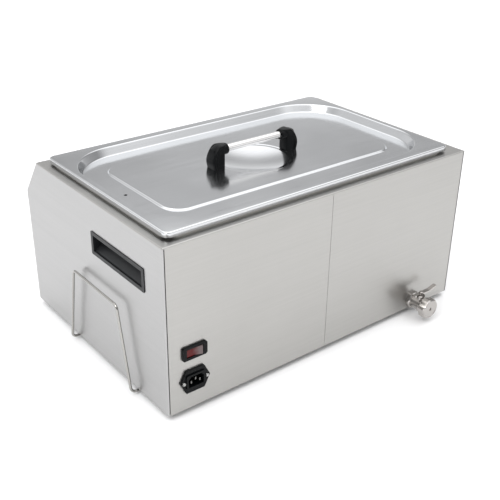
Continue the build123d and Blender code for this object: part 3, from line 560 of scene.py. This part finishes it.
# Along the bar from the lid's middle: the barrel's inner end, the leg's inner face and the
# point where the outer strip has reached the top.
COLLAR_IN = 51.5
LEG_IN = 60.0
SHOULDER = 66.0
# The crowned strip: how thick it is, how far it sinks into the leg, how much it narrows there.
STRIP_THICK = 3.6
STRIP_SINK = 1.5
STRIP_TUCK = 0.86
# The radius along the leg's upright edges.
LEG_ROUND = 1.6


def shoulder_path(inset, count=30):
    """The bracket's outer curve in (x, z), from the foot over the shoulder, inset inwards."""
    # Where the curve passes, from the lid's middle and over the foot; its direction there; and
    # how far it runs from each point to the next.
    knots = [(80.0, 0.0), (82.0, 11.0), (79.0, 23.0), (SHOULDER, bracket_top - foot_z)]
    slopes = [(0.2, 1.0), (0.0, 1.0), (-0.42, 0.9), (-1.0, 0.0)]
    lengths = [11.0, 12.0, 17.0]
    points = []
    for k in range(count + 1):
        t = 3 * k / count
        i = min(2, int(t))
        u = t - i
        h0, h1 = 2 * u**3 - 3 * u**2 + 1, u**3 - 2 * u**2 + u
        h2, h3 = 3 * u**2 - 2 * u**3, u**3 - u**2
        found = []
        for d in (0, 1):
            first = lengths[i] * slopes[i][d]
            last = lengths[i] * slopes[i + 1][d]
            found.append(h0 * knots[i][d] + h1 * first + h2 * knots[i + 1][d] + h3 * last)
        points.append(Vector(found))
    moved = []
    for k, p in enumerate(points):
        along = (points[min(count, k + 1)] - points[max(0, k - 1)]).normalized()
        moved.append((p.x - along.y * inset, foot_z + p.y + along.x * inset))
    return moved


def crown(half, thick, count=14):
    """Half-section of the outer strip: across and outward offsets, round at the edges."""
    points = []
    for k in range(count + 1):
        t = math.pi * (1 - k / count)
        across = half * math.copysign(abs(math.cos(t)) ** 0.34, math.cos(t))
        out = thick * abs(math.sin(t)) ** 0.5
        points.append((across, out))
    return points


def make_bracket(side, name, node):
    """A moulded bracket: barrel collar on the bar, slimmer leg, and a crowned strip outside."""
    verts, faces = [], []

    def include(found):
        base = len(verts)
        verts.extend(found[0])
        faces.extend([tuple(i + base for i in f) for f in found[1]])

    reach = bracket_top - bar_z
    barrel_profile = [
        (COLLAR_IN, bar_radius + 0.1),
        (COLLAR_IN, reach - 1.4),
        (COLLAR_IN + 0.4, reach - 0.5),
        (COLLAR_IN + 1.3, reach),
        (LEG_IN, reach),
        (SHOULDER + 4, reach - 0.3),
        (SHOULDER + 12, reach - 4),
    ]
    barrel = [
        [(x, 1.1 * r * c, bar_z + r * d) for c, d in unit_circle(40)] for x, r in barrel_profile
    ]
    include(loft(barrel, False, True))

    half = bracket_half - LEG_ROUND
    leg_top = bracket_top - 2.0
    outer = shoulder_path(3.0)
    leg = []
    for across in (-half, -half + 0.5, -half + LEG_ROUND, half - LEG_ROUND, half - 0.5, half):
        edge = max(0.0, abs(across) - (half - LEG_ROUND))
        pull = LEG_ROUND - math.sqrt(max(0.0, LEG_ROUND**2 - edge**2))
        ring = [(LEG_IN + pull, across, foot_z)]
        for x, z in outer:
            lowered = pull if z > foot_z else 0.0
            ring.append((x - pull, across, min(z, leg_top + 0.5) - lowered))
        for k in range(6):
            z = leg_top - pull - (leg_top - foot_z) * k / 6
            ring.append((LEG_IN + pull, across, z))
        leg.append(ring)
    include(loft(leg, True, True))

    section = crown(bracket_half, STRIP_THICK)

    def strip_ring(x, z, out, narrow, rise=1.0):
        """The strip's section at a point of its path, with its inner edge tucked in."""
        ring = [(x + out[0] * o * rise, c * narrow, z + out[1] * o * rise) for c, o in section]
        for c, _ in (section[-1], section[0]):
            tucked = c * narrow * STRIP_TUCK
            ring.append((x - out[0] * STRIP_SINK, tucked, z - out[1] * STRIP_SINK))
        return ring

    strip = []
    path = shoulder_path(STRIP_THICK)
    for k, (x, z) in enumerate(path):
        before, after = path[max(0, k - 1)], path[min(len(path) - 1, k + 1)]
        along = Vector((after[0] - before[0], after[1] - before[1])).normalized()
        narrow = 1.0 - 0.14 * (k / (len(path) - 1)) ** 2
        strip.append(strip_ring(x, z, (along.y, -along.x), narrow))
    strip[0] = [(x, y, foot_z) for x, y, z in strip[0]]
    # From the shoulder the strip runs on over the barrel and narrows into it.
    for k in range(1, 9):
        t = k / 8
        narrow = 0.86 - 0.44 * t * t
        hood_x = SHOULDER - 12.5 * t
        hood_z = bracket_top - STRIP_THICK
        strip.append(strip_ring(hood_x, hood_z, (0.0, 1.0), narrow, 1 - 0.05 * t))
    include(loft(strip, True, True))

    placed = [(lid_x + side * x, lid_y + y, max(z, foot_z)) for x, y, z in verts]
    made = piece(name, placed, faces, "black", "lid", 32)
    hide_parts(node)


make_bracket(1, "handle_bracket_plus_x", "right_handle_bracket")
make_bracket(-1, "handle_bracket_minus_x", "left_handle_bracket")


# ---- drain tap ------------------------------------------------------------------------------
# Points round each ring of a turned shape.
TURNED_COUNT = 144


def six_sided(theta, across_flats, turn=0.0):
    """Radius of a hexagon of that size at an angle; a flat faces the angle turn + 30 degrees."""
    within = (theta - turn) % (math.pi / 3) - math.pi / 6
    return across_flats / 2 / math.cos(within)


def turned_y(cx, cz, profile, across_flats=0.0, turn=0.0):
    """Rings along Y about (cx, cz) from (y, radius) pairs, cut to a hexagon if one is given."""
    rings = []
    for y, radius in profile:
        ring = []
        for k in range(TURNED_COUNT):
            theta = 2 * math.pi * k / TURNED_COUNT
            r = radius
            if across_flats:
                r = min(radius, six_sided(theta, across_flats, turn))
            ring.append((cx + r * math.cos(theta), y, cz + r * math.sin(theta)))
        rings.append(ring)
    return rings


def middle(node):
    """Centre of a node's box in millimetres."""
    low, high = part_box(node)
    return [(a + b) / 2 / MM for a, b in zip(low, high)]


tap_x, _, tap_z = middle("tap_cap")
cap_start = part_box("tap_cap")[0].y / MM
cap_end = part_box("tap_cap")[1].y / MM
nut_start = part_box("tap_wall_nut")[0].y / MM
nut_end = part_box("tap_wall_nut")[1].y / MM
CAP_FLATS = 32.0
NUT_FLATS = 27.0
BAND_FLATS = 24.0


def make_cap():
    """Outlet cap: six flats with turned corners, a rimmed face and a drilled key hole."""
    outside = [
        (cap_start, 7.9),
        (cap_start, 15.6),
        (cap_start + 0.9, 17.4),
        (cap_end - 2.4, 17.4),
        (cap_end - 0.5, 15.7),
        (cap_end, 15.0),
        (cap_end, 13.4),
        (cap_end - 0.35, 13.0),
        (cap_end - 0.35, 3.4),
        (cap_end - 0.9, 2.6),
        (cap_end - 2.1, 2.5),
        (cap_end - 2.3, 0.2),
    ]
    body = turned_y(tap_x, tap_z, outside, CAP_FLATS, math.radians(15))
    inside = turned_y(tap_x, tap_z, [(cap_end - 3.0, 0.2), (cap_end - 3.0, 7.9)])
    verts, faces = loft(inside + body, True, True)
    made = piece("outlet_cap", verts, faces, "nickel", "tap_cap", 28)
    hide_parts("tap_cap")


def make_wall_nut():
    """Hexagon nut against the rear panel, with turned corners."""
    outside = [
        (nut_start, 9.1),
        (nut_start, 15.3),
        (nut_end - 1.9, 15.3),
        (nut_end - 0.2, 12.6),
        (nut_end, 12.3),
        (nut_end, 9.1),
        (nut_start, 9.1),
    ]
    rings = turned_y(tap_x, tap_z, outside, NUT_FLATS)
    verts, faces = loft(rings, False, False)
    made = piece("wall_nut", verts, faces, "nickel", "casing", 28)
    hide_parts("tap_wall_nut")


def make_housing_ring():
    """A raised hexagon band round the ball housing, below the lever."""
    start = nut_end + 13.5
    outside = [
        (start, 11.02),
        (start + 0.3, 11.9),
        (start + 1.2, 12.7),
        (start + 5.6, 12.7),
        (start + 6.5, 11.9),
        (start + 6.8, 11.02),
    ]
    rings = turned_y(tap_x, tap_z, outside, BAND_FLATS, math.radians(30))
    verts, faces = loft(rings, False, False)
    piece("housing_hexagon", verts, faces, "nickel", "casing", 28)


make_cap()
make_wall_nut()
make_housing_ring()


# ---- screws ---------------------------------------------------------------------------------
def screw_form(head_radius, head, shank_radius, shank, count=48):
    """A pan head with a cross recess on a plain shank, pointing up from z = 0."""
    profile = [
        (shank_radius, -shank),
        (shank_radius, 0.0),
        (head_radius, 0.0),
        (head_radius, head * 0.35),
        (head_radius * 0.94, head * 0.72),
    ]
    rings = [[(r * c, r * d, z) for c, d in unit_circle(count)] for r, z in profile]
    for k in range(11, 0, -1):
        radius = head_radius * 0.84 * k / 11
        ring = []
        for c, d in unit_circle(count):
            x, y = radius * c, radius * d
            dome = head * (0.9 + 0.1 * math.cos(math.pi * k / 22))
            # A point is in the cross where both shares are below 1, across an arm and along it.
            arm = min(abs(x), abs(y)) / (head_radius * 0.15)
            reach = radius / (head_radius * 0.58)
            sunk = 1.0
            for used in (arm, reach):
                sunk *= max(0.0, min(1.0, 3.0 * (1.0 - used)))
            ring.append((x, y, dome - head * 0.55 * sunk))
        rings.append(ring)
    return loft(rings, True, True)


def loose_boxes(node):
    """The boxes of a node's separate solids, in millimetres."""
    shape = bmesh.new()
    shape.from_mesh(nodes[node].data)
    shape.transform(nodes[node].matrix_world)
    left = set(shape.verts)
    found = []
    while left:
        todo = [left.pop()]
        group = []
        while todo:
            v = todo.pop()
            group.append(v.co.copy())
            for edge in v.link_edges:
                other = edge.other_vert(v)
                if other in left:
                    left.remove(other)
                    todo.append(other)
        low = Vector([min(co[i] for co in group) / MM for i in range(3)])
        high = Vector([max(co[i] for co in group) / MM for i in range(3)])
        found.append((low, high))
    shape.free()
    return sorted(found, key=lambda pair: tuple(round(v, 2) for v in pair[0]))


def make_screws(node, name, towards, head, shank_radius):
    """Recessed screws in place of a node's plain ones; towards is the way the heads face."""
    turn = Vector(towards).to_track_quat("Z", "Y").to_matrix()
    verts, faces = [], []
    for low, high in loose_boxes(node):
        centre = (low + high) / 2
        length = sum(abs(d) * (b - a) for a, b, d in zip(low, high, towards))
        wide = max((b - a) * (1 - abs(d)) for a, b, d in zip(low, high, towards))
        found, sides = screw_form(wide / 2, head, shank_radius, length - head)
        seat = centre + Vector(towards) * (length / 2 - head)
        base = len(verts)
        verts.extend([tuple(seat + turn @ Vector(v)) for v in found])
        faces.extend([tuple(i + base for i in f) for f in sides])
    made = piece(name, verts, faces, "screw", "casing", 30)
    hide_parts(node)


make_screws("inlet_screws", "inlet_pan_screws", (0, 1, 0), 1.8, 1.6)
make_screws("stand_clip_screws", "clip_pan_screws", (0, 0, -1), 1.8, 1.4)


# ---- studio ---------------------------------------------------------------------------------
# Lengths here are in metres and angles in degrees.
FLOOR_SIZE = 30.0
# Sky brightness by the sine of the height above the horizon.
SKY = [
    (0.0, 0.95),
    (0.08, 0.90),
    (0.22, 0.72),
    (0.36, 0.56),
    (0.48, 0.70),
    (0.62, 1.45),
    (0.85, 1.9),
    (1.0, 1.9),
]
# Soft boxes and dark gaps round the object: share of the sky's brightness by angle in degrees.
SOFT_BOXES = [
    (-180, 0.66),
    (-150, 0.72),
    (-128, 1.10),
    (-106, 0.76),
    (-70, 1.20),
    (-40, 1.45),
    (-14, 0.90),
    (45, 0.38),
    (88, 1.00),
    (112, 1.60),
    (127, 1.45),
    (147, 0.66),
    (180, 0.66),
]
LAMP_PLACE = (1.6, 0.7, 1.8)
LAMP_AIM = (0.6, 0.5, 0)
LAMP_SIZE = 1.1
LAMP_WATTS = 18
CAMERA_PLACE = (0.7459, 0.9380, 0.7283)
CAMERA_PITCH = 27.50
CAMERA_YAW = 51.61
CAMERA_ROLL = -0.82
CAMERA_LENS = 59.34


def make_floor():
    """The pale floor."""
    bpy.ops.mesh.primitive_plane_add(size=FLOOR_SIZE, location=(0, 0, 0))
    ground = bpy.context.object
    ground.name = "studio_floor"
    ground.data.materials.append(floor_cover())


def grey_ramp(tree, value, stops, blue=1.0):
    """A grey level by position, from (position, level) pairs; blue scales its blue part."""
    made = tree.nodes.new("ShaderNodeValToRGB")
    while len(made.color_ramp.elements) < len(stops):
        made.color_ramp.elements.new(0.5)
    for element, (position, level) in zip(made.color_ramp.elements, stops):
        element.position = position
        element.color = (level, level, level * blue, 1)
    tree.links.new(value, made.inputs["Fac"])
    return made.outputs["Color"]


def make_sky():
    """A sky that is darkest half way up, with soft boxes round the object."""
    world = bpy.data.worlds.new("studio_world")
    bpy.context.scene.world = world
    world.use_nodes = True
    tree = world.node_tree
    shade = tree.nodes["Background"]
    place = tree.nodes.new("ShaderNodeTexCoord")
    split = tree.nodes.new("ShaderNodeSeparateXYZ")
    tree.links.new(place.outputs["Generated"], split.inputs[0])
    tree.links.new(grey_ramp(tree, split.outputs["Z"], SKY, 1.01), shade.inputs["Color"])
    heading = combine(tree, split.outputs["Y"], split.outputs["X"], "ARCTAN2")
    turn_share = spread(tree, heading, 0.0, 1.0, -math.pi, math.pi)
    box_stops = [((angle + 180) / 360, level) for angle, level in SOFT_BOXES]
    boxes = grey_ramp(tree, turn_share, box_stops)
    # The boxes fade to plain sky overhead and at the horizon.
    band = combine(tree, boxes, 1.0, "MULTIPLY")
    missing = combine(tree, combine(tree, band, -1.0, "MULTIPLY"), 1.0)
    overhead = spread(tree, split.outputs["Z"], 0.0, 1.0, 0.50, 0.66)
    horizon = spread(tree, split.outputs["Z"], 1.0, 0.0, 0.03, 0.09)
    plain = combine(tree, overhead, horizon)
    share = combine(tree, band, combine(tree, missing, plain, "MULTIPLY"))
    tree.links.new(share, shade.inputs["Strength"])


def make_lamp():
    """A square soft lamp beside the object."""
    data = bpy.data.lights.new("key", "AREA")
    data.shape = "RECTANGLE"
    data.size = data.size_y = LAMP_SIZE
    data.energy = LAMP_WATTS
    made = bpy.data.objects.new("key", data)
    bpy.context.scene.collection.objects.link(made)
    made.location = LAMP_PLACE
    made.rotation_mode = "QUATERNION"
    towards = Vector(LAMP_AIM) - Vector(LAMP_PLACE)
    made.rotation_quaternion = towards.to_track_quat("-Z", "Y")


def make_camera():
    """The camera, at the photograph's angle."""
    sight = bpy.data.cameras.new("camera")
    sight.lens = CAMERA_LENS
    sight.sensor_width = 36.0
    sight.clip_start, sight.clip_end = 0.01, 100
    camera = bpy.data.objects.new("camera", sight)
    bpy.context.scene.collection.objects.link(camera)
    bpy.context.scene.camera = camera
    pitch, yaw, roll = [math.radians(v) for v in (CAMERA_PITCH, CAMERA_YAW, CAMERA_ROLL)]
    level = Vector((-math.cos(yaw), -math.sin(yaw), 0))
    ahead = level * math.cos(pitch) - Vector((0, 0, math.sin(pitch)))
    side = ahead.cross(Vector((0, 0, 1))).normalized()
    down = ahead.cross(side)
    right = side * math.cos(roll) + down * math.sin(roll)
    down = down * math.cos(roll) - side * math.sin(roll)
    turn = Matrix((right, -down, -ahead)).transposed().to_4x4()
    camera.matrix_world = Matrix.Translation(CAMERA_PLACE) @ turn


make_floor()
make_sky()
make_lamp()
make_camera()
bpy.context.scene.view_settings.view_transform = "Standard"
